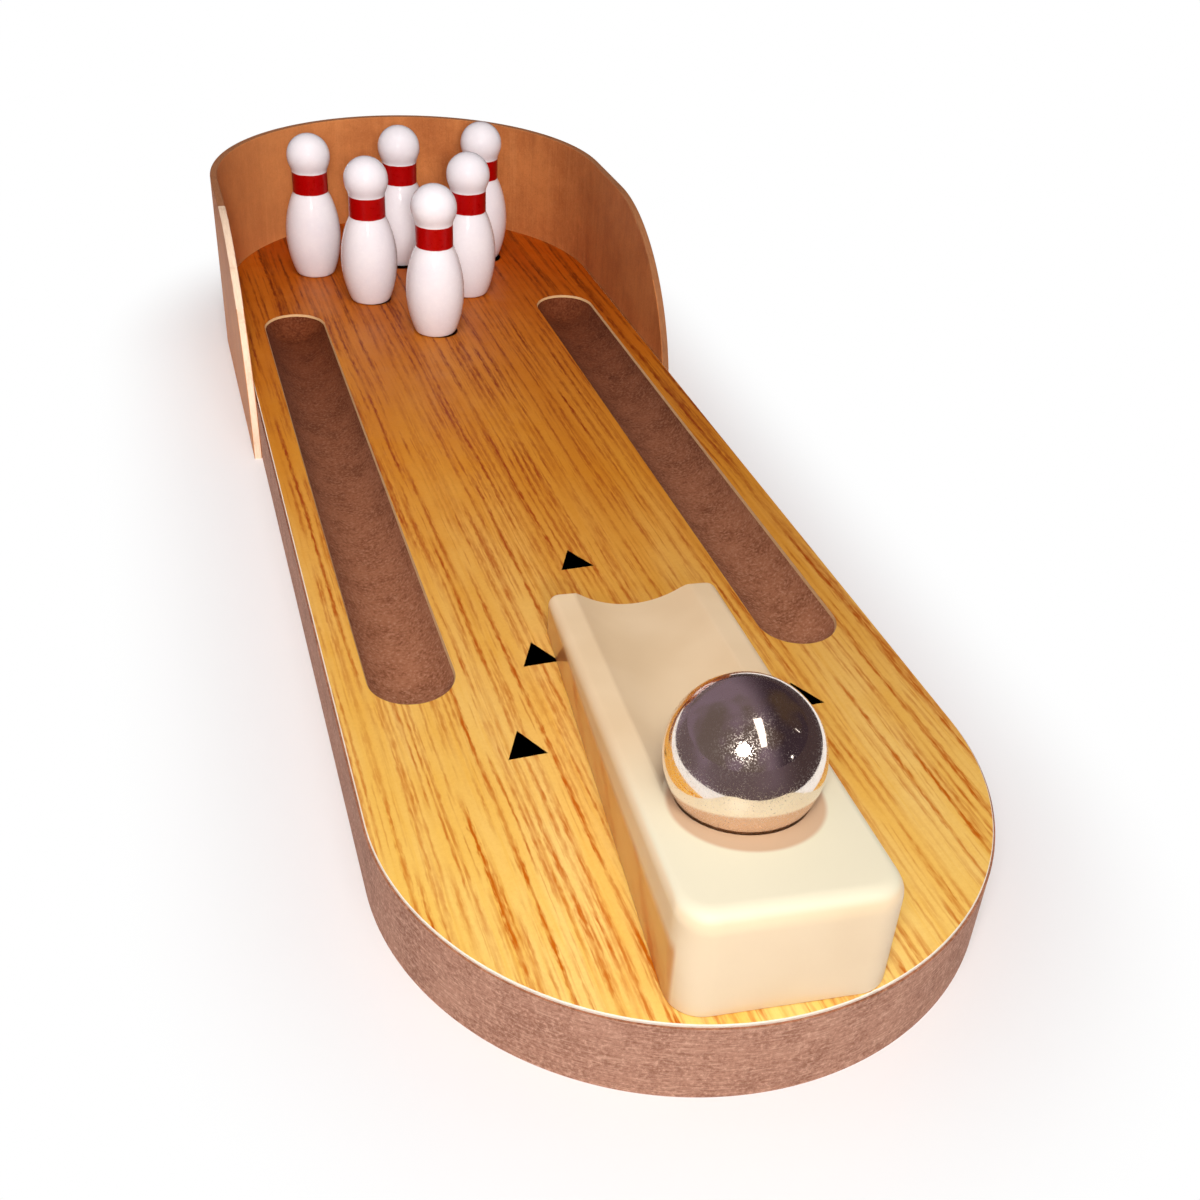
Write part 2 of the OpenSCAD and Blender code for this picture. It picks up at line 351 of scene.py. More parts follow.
def axis(tree, where, name):
    """One coordinate of a place or a direction."""
    return put(tree, "SeparateXYZ", {"Vector": where}).outputs[name]


def length(tree, where):
    """Distance of a place from the origin."""
    return put(tree, "VectorMath", {0: where}, operation="LENGTH").outputs["Value"]


def tint(tree, share, first, second, how="MIX"):
    """Mixes two colours."""
    made = put(tree, "Mix", data_type="RGBA", blend_type=how)
    for index, value in ((0, share), (6, first), (7, second)):
        feed(tree, made.inputs[index], value)
    return made.outputs[2]


def over(tree, colour, added, mask, low, high, most=1.0):
    """Lays a colour over another while a mask goes from low to high."""
    return tint(tree, span(tree, mask, low, high, 0.0, most), colour, added)


def noise(tree, where, size, detail=3.0, rough=0.5):
    """Cloudy noise whose patches are about size across, in the units of where."""
    linked = isinstance(size, bpy.types.NodeSocket)
    scale = calc(tree, "DIVIDE", 1.0, size) if linked else 1 / size
    return put(tree, "TexNoise", {"Vector": where, "Scale": scale, "Detail": detail,
                                  "Roughness": rough}).outputs["Fac"]


def stretch(tree, where, scale, shift=(0, 0, 0)):
    """Squeezes or stretches a pattern's coordinates."""
    return put(tree, "Mapping", {"Vector": where, "Scale": scale, "Location": shift}).outputs[0]


def millimetres(tree, turn=0.0):
    """The piece's own coordinates in millimetres, turned about Z."""
    place = put(tree, "TexCoord").outputs["Object"]
    return put(tree, "Mapping", {"Vector": place, "Scale": (1 / MM,) * 3,
                                 "Rotation": (0, 0, turn)}).outputs[0]


def effect(name, gives, **takes):
    """Starts a shared effect, which takes a place and some numbers and gives out masks or
    values. It returns its node tree, its inputs and its outputs."""
    tree = bpy.data.node_groups.new(name, "ShaderNodeTree")
    tree.interface.new_socket("Place", in_out="INPUT", socket_type="NodeSocketVector")
    for label, first in takes.items():
        socket = tree.interface.new_socket(label.replace("_", " "), in_out="INPUT",
                                           socket_type="NodeSocketFloat")
        socket.default_value = first
    for label in gives:
        tree.interface.new_socket(label, in_out="OUTPUT", socket_type="NodeSocketFloat")
    return tree, tree.nodes.new("NodeGroupInput").outputs, tree.nodes.new("NodeGroupOutput").inputs


def use(tree, group, **inputs):
    """Places a shared effect in a material with its own values."""
    made = tree.nodes.new("ShaderNodeGroup")
    made.node_tree = group
    for label, value in inputs.items():
        feed(tree, made.inputs[label.replace("_", " ")], value)
    return made.outputs


def material(name, **fixed):
    """A new material with its fixed values. It returns it with its node tree."""
    made = bpy.data.materials.new(name)
    made.use_nodes = True
    shader = made.node_tree.nodes["Principled BSDF"]
    for label, value in fixed.items():
        shader.inputs[label.replace("_", " ")].default_value = value
    return made, made.node_tree


def relief(tree, height, depth, strength):
    """A normal from a height between 0 and 1 that is depth millimetres deep."""
    return put(tree, "Bump", {"Height": height, "Distance": depth * MM,
                              "Strength": strength}).outputs[0]


# Shared effects


def make_mottle():
    """Cloudy patches with fine grain in them."""
    tree, takes, gives = effect("Mottle", ["Value"], Patch=2.0, Fine=0.3, Fine_share=0.4,
                                Contrast=1.0)
    big = noise(tree, takes["Place"], takes["Patch"])
    small = noise(tree, takes["Place"], takes["Fine"], 4.0, 0.65)
    mixed = put(tree, "Mix", {"Factor": takes["Fine share"], 2: big, 3: small}).outputs[0]
    spread = times(tree, calc(tree, "SUBTRACT", mixed, 0.5), times(tree, takes["Contrast"], 2.5))
    feed(tree, gives["Value"], calc(tree, "ADD", spread, 0.5, clamp=True))
    return tree


def make_specks():
    """Small ragged specks, of which only a share of the possible places shows."""
    tree, takes, gives = effect("Specks", ["Mask"], Spacing=3.0, Size=0.2, Share=0.3)
    ragged = put(tree, "TexNoise", {"Vector": takes["Place"], "Scale": 4.0, "Detail": 2.0})
    moved = put(tree, "VectorMath", {0: ragged.outputs["Color"], 1: (0.12, 0.12, 0.12)},
                operation="MULTIPLY_ADD")
    feed(tree, moved.inputs[2], takes["Place"])
    cells = put(tree, "TexVoronoi", {"Vector": moved.outputs[0], "Randomness": 1.0,
                                     "Scale": calc(tree, "DIVIDE", 1.0, takes["Spacing"])})
    chance = put(tree, "SeparateColor", {"Color": cells.outputs["Color"]}).outputs[0]
    reach = times(tree, cells.outputs["Distance"], takes["Spacing"])
    size = times(tree, takes["Size"], calc(tree, "ADD", 0.35, chance))
    near = climb(tree, reach, size, times(tree, size, 0.55))
    shown = calc(tree, "LESS_THAN", chance, takes["Share"])
    feed(tree, gives["Mask"], times(tree, near, shown))
    return tree


def make_worn_edges():
    """Where an edge is handled: 1 on the edge itself, 0 on flat ground."""
    tree, takes, gives = effect("Worn edges", ["Mask"], Radius=0.5 * MM, Break_up=0.5)
    soft = put(tree, "Bevel", {"Radius": takes["Radius"]}, samples=6)
    true = put(tree, "NewGeometry").outputs["Normal"]
    same = put(tree, "VectorMath", {0: soft.outputs[0], 1: true}, operation="DOT_PRODUCT")
    edge = climb(tree, same.outputs["Value"], 0.995, 0.86)
    gaps = climb(tree, noise(tree, takes["Place"], 1 / 0.9, 4.0), 0.35, 0.6)
    kept = put(tree, "Mix", {"Factor": takes["Break up"], 2: 1.0, 3: gaps}).outputs[0]
    feed(tree, gives["Mask"], times(tree, edge, kept))
    return tree


def make_grain_lines():
    """Printed grain: thin broken lines along Y at uneven distances across X."""
    tree, takes, gives = effect("Grain lines", ["Lines", "Shade"], Spacing=2.0, Width=0.2,
                                Dash=20.0, Share=0.5, Wander=0.5, Seed=0.0)
    across, along = axis(tree, takes["Place"], "X"), axis(tree, takes["Place"], "Y")
    bend = noise(tree, stretch(tree, takes["Place"], (0.12, 0.03, 0)), 1, 1.0)
    shiver = noise(tree, stretch(tree, takes["Place"], (0.5, 0.16, 0)), 1, 2.0)
    sway = calc(tree, "ADD", times(tree, calc(tree, "SUBTRACT", bend, 0.5), 2.6),
                times(tree, calc(tree, "SUBTRACT", shiver, 0.5), 0.45))
    moved = calc(tree, "MULTIPLY_ADD", sway, takes["Wander"], across)
    seat = calc(tree, "DIVIDE", calc(tree, "ADD", moved, takes["Seed"]), takes["Spacing"])
    cells = put(tree, "TexVoronoi", {"W": seat, "Scale": 1.0, "Randomness": 1.0},
                voronoi_dimensions="1D")
    chance = put(tree, "SeparateColor", {"Color": cells.outputs["Color"]})
    reach = times(tree, cells.outputs["Distance"], takes["Spacing"])
    run = calc(tree, "DIVIDE", along, takes["Dash"])
    line_place = put(tree, "CombineXYZ", {
        "X": times(tree, chance.outputs[0], 83.0), "Y": run,
        "Z": times(tree, chance.outputs[1], 47.0)}).outputs[0]
    dash = noise(tree, line_place, 1, 2.0)
    limit = calc(tree, "SUBTRACT", 0.72, times(tree, takes["Share"], 0.44))
    shown = climb(tree, dash, limit, calc(tree, "ADD", limit, 0.12))
    swell = noise(tree, stretch(tree, line_place, (1, 4, 1)), 1, 2.0)
    half = times(tree, takes["Width"], calc(tree, "MULTIPLY_ADD", swell, 1.5, 0.3))
    grit = noise(tree, stretch(tree, takes["Place"], (3.2, 0.5, 0)), 1, 2.0)
    torn = calc(tree, "MULTIPLY_ADD", calc(tree, "SUBTRACT", grit, 0.5),
                times(tree, takes["Width"], 1.7), reach)
    line = span(tree, torn, half, 0.0)
    blots = noise(tree, stretch(tree, takes["Place"], (1.1, 0.2, 0)), 1, 2.0)
    line = times(tree, line, span(tree, blots, 0.35, 0.6, 0.55, 1.0))
    feed(tree, gives["Lines"], times(tree, line, shown))
    feed(tree, gives["Shade"], chance.outputs[2])
    return tree


MOTTLE = make_mottle()
SPECKS = make_specks()
WORN_EDGES = make_worn_edges()
GRAIN_LINES = make_grain_lines()


# Finishes


def mottle(tree, where, patch, fine, fine_share, contrast):
    """Places the mottle effect, with its sizes in millimetres."""
    return use(tree, MOTTLE, Place=where, Patch=patch, Fine=fine, Fine_share=fine_share,
               Contrast=contrast)["Value"]


def specks(tree, where, spacing, size, share):
    """Places the specks effect, with its sizes in millimetres."""
    return use(tree, SPECKS, Place=where, Spacing=spacing, Size=size, Share=share)["Mask"]


def worn_edges(tree, where, radius, break_up):
    """Places the worn edges effect, with its radius in metres."""
    return use(tree, WORN_EDGES, Place=where, Radius=radius, Break_up=break_up)["Mask"]


def finished(made, colour, rough, normal, coat=None):
    """Feeds a material's shader all that changes over its surface."""
    shader = made.node_tree.nodes["Principled BSDF"]
    for label, value in (("Base Color", colour), ("Roughness", rough), ("Normal", normal),
                         ("Coat Weight", coat)):
        if value is not None:
            feed(made.node_tree, shader.inputs[label], value)
    return made


# Layers of the printed grain, coarse to fine: spacing, width and dash length in millimetres,
# the share of each line that shows, how far it wanders, its seed and its depth of colour
GRAIN_LAYERS = (
    (5.3, 0.7, 60, 0.66, 0.4, 53, 1.1),
    (2.1, 0.54, 42, 0.74, 0.45, 0, 1.1),
    (1.45, 0.36, 26, 0.6, 0.5, 31, 0.9),
    (0.8, 0.2, 13, 0.5, 0.55, 77, 0.6),
)
GRAIN_TURN = math.radians(-1.1)
GRAIN_SLANT = 0.35

# Where the print's painted shade for the light's fall-off changes, in millimetres along it
FALLOFF_NEAR, FALLOFF_MIDDLE, FALLOFF_FAR = -125, -5, 110


def printed_grain():
    """Straw-coloured wood print with rust-brown grain lines, satin, with painted shade that makes
    it browner and darker to the far end.
    """
    made, tree = material("printed_grain", IOR=1.45, Specular_IOR_Level=0.17)
    place = millimetres(tree, GRAIN_TURN)
    along = calc(tree, "MULTIPLY_ADD", axis(tree, place, "X"), GRAIN_SLANT, axis(tree, place, "Y"))
    first = climb(tree, along, FALLOFF_NEAR, FALLOFF_MIDDLE)
    second = climb(tree, along, FALLOFF_MIDDLE, FALLOFF_FAR)

    # Painted shade: each colour of the print darkens from near to far, for the light's fall-off.
    def shaded_by_distance(near, mid, far):
        return tint(tree, second, tint(tree, first, near, mid), far)

    broad = noise(tree, stretch(tree, place, (0.11, 0.012, 0)), 1, 3.0)
    streak = noise(tree, stretch(tree, place, (1.1, 0.03, 0)), 1, 4.0, 0.6)
    cloud = noise(tree, place, 9, 3.0)
    pale = shaded_by_distance(rgb(253, 219, 130), rgb(214, 146, 46), rgb(178, 80, 6))
    deep = shaded_by_distance(rgb(245, 195, 82), rgb(200, 124, 27), rgb(158, 61, 2))
    rust = shaded_by_distance(rgb(200, 102, 10), rgb(150, 58, 2), rgb(92, 28, 1))
    straw = over(tree, pale, deep, broad, 0.34, 0.66, 0.7)
    straw = over(tree, straw, deep, streak, 0.48, 0.75, 0.6)
    straw = over(tree, straw, deep, cloud, 0.45, 0.75, 0.3)
    lines = 0.0
    for spacing, width, dash, share, wander, seed, depth in GRAIN_LAYERS:
        layer = use(tree, GRAIN_LINES, Place=place, Spacing=spacing, Width=width, Dash=dash,
                    Share=share, Wander=wander, Seed=seed)
        tone = calc(tree, "MULTIPLY_ADD", layer["Shade"], 0.5 * depth, 0.55 * depth)
        lines = calc(tree, "MAXIMUM", lines, times(tree, layer["Lines"], tone))
    crowd = noise(tree, stretch(tree, place, (0.1, 0.02, 0), (7, 3, 0)), 1, 2.0)
    lines = times(tree, lines, span(tree, crowd, 0.3, 0.5, 0.45, 1.0))
    dots = mottle(tree, place, 0.5, 0.12, 0.6, 0.8)
    colour = over(tree, tint(tree, lines, straw, rust), rust, dots, 0.2, 0.9, 0.14)
    return finished(made, colour, span(tree, cloud, 0.3, 0.7, 0.36, 0.46),
                    relief(tree, calc(tree, "SUBTRACT", dots, lines), 0.02, 0.35))


def sheet_edge(name, pale, mean):
    """The print's paper core where it is cut."""
    made, tree = material(name)
    layers = mottle(tree, stretch(tree, millimetres(tree), (1, 1, 9)), 1.6, 0.3, 0.5, 1.0)
    return finished(made, tint(tree, layers, mean, pale), span(tree, layers, 0, 1, 0.75, 0.6),
                    relief(tree, layers, 0.03, 0.5))


def fibreboard(name, pale, mean, dark, streaks, clouding, far_shade=None):
    """Compressed wood fibre. Streaks is how strongly a saw or sander marked it lengthwise. The
    far shade is a colour that it is multiplied by at the far end, as painted shade for the light's
    fall-off."""
    made, tree = material(name, IOR=1.4)
    place = millimetres(tree)
    clouds = mottle(tree, place, 5, 1.3, 0.4, 1.0)
    fibre = mottle(tree, place, 0.5, 0.16, 0.4, 1.2)
    sawn = mottle(tree, stretch(tree, place, (0.16, 0.16, 2.2)), 0.7, 0.35, 0.5, 1.6)
    colour = over(tree, dark, mean, tint(tree, clouding, fibre, clouds), 0.05, 0.7)
    colour = over(tree, colour, pale, fibre, 0.55, 1.0, 0.6)
    colour = over(tree, colour, pale, sawn, 0.68, 1.0, streaks)
    colour = over(tree, colour, dark, sawn, 0.3, 0.0, streaks)
    crumbs = specks(tree, place, 1.3, 0.12, 0.35)
    colour = tint(tree, times(tree, crumbs, 0.5), colour, dark)
    # Painted shade: darker towards the far end.
    if far_shade:
        away = climb(tree, axis(tree, place, "Y"), GUTTER_NEAR_Y / MM, GUTTER_FAR_Y / MM)
        colour = tint(tree, away, colour, far_shade, "MULTIPLY")
    return finished(made, colour, span(tree, fibre, 0, 1, 0.9, 0.72),
                    relief(tree, tint(tree, streaks, fibre, sawn), 0.06, 0.6))


def strip_face():
    """Stained face of the bent strip, with upright grain, fine speckle and painted light that
    makes it paler towards the left.
    """
    made, tree = material("strip_face", IOR=1.45)
    place = millimetres(tree)
    grain = mottle(tree, stretch(tree, place, (1, 1, 0.05)), 2.6, 0.5, 0.45, 1.1)
    cloud = mottle(tree, place, 14, 2.2, 0.35, 1.0)
    speckle = mottle(tree, place, 0.45, 0.14, 0.6, 1.3)
    colour = over(tree, rgb(182, 108, 58), rgb(208, 132, 74), cloud, 0.1, 0.9)
    colour = over(tree, colour, rgb(218, 148, 90), grain, 0.5, 1.0, 0.35)
    colour = over(tree, colour, rgb(160, 90, 46), grain, 0.5, 0.0, 0.35)
    colour = over(tree, colour, rgb(142, 82, 48), speckle, 0.4, 0.0, 0.4)
    colour = over(tree, colour, rgb(226, 162, 108), speckle, 0.6, 1.0, 0.3)
    # Painted light: paler towards the left, where the light falls on the face.
    colour = over(tree, colour, rgb(236, 160, 98), axis(tree, place, "X"), 10, -42, 0.4)
    return finished(made, colour, span(tree, speckle, 0, 1, 0.62, 0.5),
                    relief(tree, tint(tree, 0.5, grain, speckle), 0.05, 0.5))


def strip_edge(name, pale, mean, stained):
    """Bare cut edge of the bent strip, with thin plies along it."""
    made, tree = material(name)
    place = millimetres(tree)
    plies = mottle(tree, stretch(tree, place, (3, 0.4, 0.4)), 1.1, 0.4, 0.5, 1.0)
    dirt = mottle(tree, place, 6, 0.8, 0.4, 1.2)
    colour = over(tree, tint(tree, plies, mean, pale), stained, dirt, 0.55, 1.0, 0.4)
    return finished(made, colour, span(tree, plies, 0, 1, 0.8, 0.65),
                    relief(tree, plies, 0.05, 0.5))


def ivory_moulding():
    """Ivory plastic, with a painted highlight that makes its upward-facing near top paler. It has
    a painted shadow round where the ball sits, painted shade with a painted reflection of the
    orange lane low on its long sides, which are glossy, and dust specks."""
    made, tree = material("ivory_moulding", IOR=1.5, Coat_Roughness=0.05)
    place = millimetres(tree)
    along = axis(tree, place, "Y")
    facing = put(tree, "TexCoord").outputs["Normal"]
    flow = noise(tree, place, 14, 2.0)
    skin = noise(tree, place, 3, 2.0)
    colour = over(tree, rgb(238, 211, 170), rgb(246, 221, 182), flow, 0.3, 0.7)
    # Painted highlight: the near top is paler where it faces up.
    near = span(tree, along, BALL_Y / MM + 18, BALL_Y / MM - 10)
    upwards = span(tree, axis(tree, facing, "Z"), 0.55, 0.9, 0.15, 1.0)
    colour = tint(tree, times(tree, near, upwards), colour, rgb(242, 236, 208))
    # Painted shade and a painted reflection of the orange lane low on the long sides; the same
    # mask gives them their glossy coat.
    sideways = span(tree, calc(tree, "ABSOLUTE", axis(tree, facing, "X")), 0.92, 0.99)
    tall = calc(tree, "MULTIPLY_ADD", along, -math.tan(SLOPE),
                (RAMP_TOP + PIVOT.y * math.tan(SLOPE)) / MM)
    level = calc(tree, "DIVIDE", calc(tree, "SUBTRACT", axis(tree, place, "Z"), LANE / MM), tall)
    sunk = span(tree, along, BALL_Y / MM + 20, BALL_Y / MM + 60, 0.0, 0.22)
    low = span(tree, calc(tree, "SUBTRACT", level, sunk), 0.7, 0.52, 0.0, 0.85)
    side_shade_and_gloss = times(tree, sideways, low)
    colour = tint(tree, side_shade_and_gloss, colour, rgb(206, 134, 66))
    # Painted shadow of the ball in the dish round it.
    seat = stretch(tree, place, (1, 1, 0), (-BALL_X / MM + 0.3, -BALL_Y / MM + 2.6, 0))
    colour = over(tree, colour, rgb(200, 142, 98), length(tree, seat), 10.4, 9.6, 0.65)
    dust = specks(tree, place, 6.5, 0.16, 0.25)
    colour = tint(tree, times(tree, dust, 0.5), colour, rgb(150, 110, 74))
    return finished(made, colour, span(tree, skin, 0.3, 0.7, 0.42, 0.46),
                    relief(tree, skin, 0.002, 0.3), side_shade_and_gloss)


def polished_steel():
    """Bearing-ball steel, polished between very many fine dull grains, with tiny pits."""
    made, tree = material("polished_steel", Metallic=1.0)
    place = millimetres(tree)
    smudge = mottle(tree, place, 5, 1.5, 0.3, 1.0)
    hairs = mottle(tree, stretch(tree, place, (0.35, 6, 2.5)), 0.9, 0.2, 0.6, 1.4)
    grains = mottle(tree, place, 0.24, 0.1, 0.5, 1.6)
    pits = specks(tree, place, 1.4, 0.09, 0.22)
    colour = tint(tree, smudge, rgb(242, 226, 212), rgb(250, 238, 226))
    colour = tint(tree, times(tree, pits, 0.5), colour, rgb(130, 116, 112))
    rough = span(tree, smudge, 0, 1, 0.03, 0.05)
    rough = calc(tree, "ADD", rough, span(tree, hairs, 0.75, 1.0, 0.0, 0.03))
    rough = calc(tree, "ADD", rough, span(tree, grains, 0.5, 0.85, 0.0, 0.25))
    return finished(made, colour, calc(tree, "MULTIPLY_ADD", pits, 0.3, rough),
                    relief(tree, pits, 0.004, 0.3))


def pin_plastic():
    """Glossy white plastic with a red painted band round the neck."""
    made, tree = material("pin_white_and_red", IOR=1.5, Specular_IOR_Level=0.2,
                          Coat_Roughness=0.1)
    place = millimetres(tree)
    ripple = times(tree, calc(tree, "SUBTRACT", noise(tree, place, 1.5), 0.5), 0.22)
    level = calc(tree, "ADD", axis(tree, place, "Z"), ripple)
    low, high = ((LANE + edge) / MM for edge in PIN_BAND)
    band = times(tree, climb(tree, level, low - 0.05, low + 0.05),
                 climb(tree, level, high + 0.05, high - 0.05))
    cast = mottle(tree, place, 6, 1.2, 0.4, 0.9)
    skin = mottle(tree, place, 0.8, 0.25, 0.5, 1.0)
    dust = specks(tree, place, 3.2, 0.1, 0.25)
    worn = worn_edges(tree, place, 0.5 * MM, 0.7)
    white = tint(tree, cast, rgb(229, 225, 231), rgb(237, 234, 237))
    white = tint(tree, times(tree, dust, 0.4), white, rgb(150, 140, 146))
    red = tint(tree, skin, rgb(150, 0, 0), rgb(172, 0, 2))
    colour = tint(tree, times(tree, worn, 0.15), tint(tree, band, white, red),
                  rgb(236, 228, 232))
    rough = calc(tree, "MULTIPLY_ADD", band, 0.06, span(tree, skin, 0, 1, 0.2, 0.3))
    raised = calc(tree, "MULTIPLY_ADD", skin, 0.12, band)
    return finished(made, colour, rough, relief(tree, raised, 0.05, 0.6),
                    calc(tree, "MULTIPLY_ADD", band, -0.5, 0.55))


def zinc_steel():
    """Plated steel with turning marks round the pivot and dull rubbed places."""
    made, tree = material("zinc_steel", Metallic=1.0)
    place = millimetres(tree)
    centred = stretch(tree, place, (1, 1, 1), tuple(-PIVOT / MM))
    turned = put(tree, "CombineXYZ", {"X": length(tree, stretch(tree, centred, (1, 1, 0))),
                                      "Y": axis(tree, centred, "Z")}).outputs[0]
    rings = noise(tree, turned, 0.12, 3.0)
    patina = mottle(tree, place, 1.8, 0.3, 0.4, 1.3)
    worn = worn_edges(tree, place, 0.3 * MM, 0.4)
    colour = tint(tree, patina, rgb(150, 150, 150), rgb(196, 196, 194))
    colour = tint(tree, times(tree, worn, 0.5), colour, rgb(224, 224, 222))
    return finished(made, colour, span(tree, rings, 0.3, 0.7, 0.28, 0.46),
                    relief(tree, rings, 0.01, 0.6))


def black_ink():
    """Flat black printing ink with pin holes."""
    made, tree = material("black_ink")
    place = millimetres(tree)
    body = mottle(tree, place, 0.8, 0.15, 0.5, 1.2)
    pin_holes = specks(tree, place, 0.9, 0.06, 0.2)
    colour = tint(tree, body, rgb(12, 12, 14), rgb(26, 25, 27))
    colour = tint(tree, times(tree, pin_holes, 0.5), colour, rgb(110, 80, 40))
    return finished(made, colour, span(tree, body, 0, 1, 0.42, 0.55),
                    relief(tree, body, 0.01, 0.4))


def dress(piece, finish, *others):
    """Gives a piece its finish. Each of others is a finish with the faces that take it."""
    piece.data.materials.clear()
    piece.data.materials.append(finish)
    for index, (other, test) in enumerate(others, 1):
        piece.data.materials.append(other)
        for face in piece.data.polygons:
            if test(face):
                face.material_index = index


def hand_over(piece, node):
    """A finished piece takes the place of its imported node."""
    body = frame["nodes"][node]["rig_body"]
    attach(piece, body)
    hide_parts(node)


# Pieces


def make_core():
    """Fibreboard core with two routed gutters, the screw's hole and its well."""
    core = round_block("fibreboard_core", ROUND, BOARD_LOW.z, CORE_TOP, FAR_Y - NEAR_Y)
    for side in (-1, 1):
        carve(core, gutter_cutter(side))
    carve(core, post("shank_hole", SHANK_HOLE, -MM, LANE, PIVOT))
    carve(core, post("well", WELL_RADIUS, -MM, WASHER_HIGH.z, PIVOT))
    soften(core, CORE_EDGE, 40, 2)
    smooth(core)
    # The gutters' last colour is painted shade that darkens them towards the far end.
    gutters = fibreboard("routed_fibreboard", rgb(196, 150, 122), rgb(168, 112, 82),
                         rgb(116, 68, 44), 0.0, 0.5, rgb(164, 130, 104))
    sides = fibreboard("sawn_fibreboard", rgb(226, 184, 158), rgb(193, 144, 120),
                       rgb(147, 99, 77), 0.5, 0.45)
    dress(core, sides, (gutters, lambda face: in_gutter(face.center)))
    return core


def from_middle(place):
    """Distance from the line between the centres of the board's two round ends."""
    return math.hypot(place.x, place.y - min(max(place.y, NEAR_Y), FAR_Y))


def in_gutter(place):
    """True inside the board's outline, no lower than the gutters' floors."""
    return from_middle(place) < ROUND - MM and place.z > CORE_TOP - GUTTER_DEPTH - 0.2 * MM


def make_sheet():
    """Printed sheet on the core, cut through by the gutters and the screw's hole."""
    sheet = round_block("printed_lane", SHEET_HIGH.x, CORE_TOP, LANE, FAR_Y - NEAR_Y)
    for side in (-1, 1):
        carve(sheet, gutter_cutter(side))
    carve(sheet, post("shank_hole", SHEET_HOLE, 0, LANE + MM, PIVOT))
    shape(sheet)
    pick("edges", lambda edge: min(end.co.z for end in edge.verts) > LANE - CLOSE
         and from_middle(middle(edge)) > ROUND - MM)
    bpy.ops.mesh.bevel(offset=SHEET_CHAMFER, segments=1, affect="EDGES")
    done()
    smooth(sheet)
    rim = sheet_edge("sheet_rim", rgb(255, 250, 238), rgb(246, 232, 208))
    routed = sheet_edge("sheet_routed", rgb(218, 180, 134), rgb(192, 150, 102))
    dress(sheet, printed_grain(),
          (routed, lambda face: abs(face.normal.z) < 0.9),
          (rim, lambda face: abs(face.normal.z) < 0.9 and from_middle(face.center) > ROUND - MM))
    return sheet


def make_strip():
    """Bent strip round the far end, with quarter-round arms."""
    wide = STRIP_HIGH.x
    reach = FAR_Y - STRIP_LOW.y
    height = STRIP_HIGH.z
    strip = round_block("bent_strip", wide, 0, height, reach + height)
    carve(strip, round_block("strip_inside", ROUND, -MM, height + MM, reach + 3 * height))
    profile = start("strip_profile", bpy.ops.mesh.primitive_cylinder_add, vertices=160,
                    radius=height, depth=4 * wide, rotation=(0, math.pi / 2, 0),
                    location=(0, STRIP_LOW.y + height, 0))
    shape(profile)
    bpy.ops.mesh.bisect(plane_co=(0, STRIP_LOW.y + height, 0), plane_no=(0, 1, 0))
    pick("faces", lambda face: middle(face).y > STRIP_LOW.y + height)
    pull((0, 3 * height, 0))
    done()
    carve(strip, profile, "INTERSECT")
    soften(strip, STRIP_EDGE, 40, 3)
    smooth(strip)
    rim = strip_edge("strip_rim", rgb(172, 116, 74), rgb(146, 92, 56), rgb(122, 74, 44))
    front = strip_edge("strip_front", rgb(244, 220, 194), rgb(222, 192, 162), rgb(186, 148, 114))
    dress(strip, strip_face(), (rim, is_strip_rim), (front, is_bare_front))
    return strip


def is_strip_rim(face):
    """True on the strip's top rim and on the sawn fronts of its arms."""
    return face.normal.z > 0.5 or (abs(face.normal.x) < 0.6 and face.center.y < FAR_Y)


def is_bare_front(face):
    """True on the sawn front of the left arm, which the stain didn't reach."""
    return is_strip_rim(face) and face.center.x < 0 and face.center.y < BARE_FROM


def cut_slope(height):
    """Cuts the edited mesh off at the ramp's slope, with a height over the pivot."""
    bpy.ops.mesh.bisect(plane_co=(0, 0, height), plane_no=(0, math.sin(SLOPE), math.cos(SLOPE)),
                        use_fill=True, clear_outer=True)


def ramp_block():
    """The ramp's outer form, with upright sides, a sloping top and round edges."""
    half = RAMP_WIDTH / 2
    block = slab("moulded_ramp", (-half, RAMP_NEAR, 0), (half, RAMP_FAR, RAMP_NEAR_HEIGHT))
    shape(block)
    cut_slope(RAMP_TOP)
    for end, radius, segments in ((RAMP_NEAR, RAMP_NEAR_CORNER, 12),
                                  (RAMP_FAR, RAMP_FAR_CORNER, 6)):
        pick("edges", lambda edge: abs(edge.verts[0].co.z - edge.verts[1].co.z) > 5 * MM
             and abs(middle(edge).y - end) < CLOSE)
        bpy.ops.mesh.bevel(offset=radius, segments=segments, profile=0.5, affect="EDGES")
    done()
    round_rims(block)
    return block


def round_rims(block):
    """Rounds the top edge: widely at the near end, less along the sides and the far end."""
    near, side, far = RAMP_NEAR_RIM, RAMP_SIDE_RIM, RAMP_FAR_RIM
    near_start, far_start = RAMP_NEAR + RAMP_NEAR_CORNER, RAMP_FAR - RAMP_FAR_CORNER
    weights = block.data.attributes.new("bevel_weight_edge", "FLOAT", "EDGE")
    for edge in block.data.edges:
        ends = [block.data.vertices[index].co for index in edge.vertices]
        place = (ends[0] + ends[1]) / 2
        drop = RAMP_TOP - place.y * math.tan(SLOPE) - place.z
        if abs(drop) > 2 * CLOSE:
            continue
        if place.y < near_start:
            share = min(1, (near_start - place.y) / RAMP_NEAR_CORNER)
            width = side + (near - side) * math.sqrt(share)
        elif place.y > far_start:
            share = (place.y - far_start) / RAMP_FAR_CORNER
            width = side + (far - side) * share
        else:
            width = side
        weights.data[edge.index].value = width / near
    modify(block, "BEVEL", width=near, segments=6, limit_method="WEIGHT")


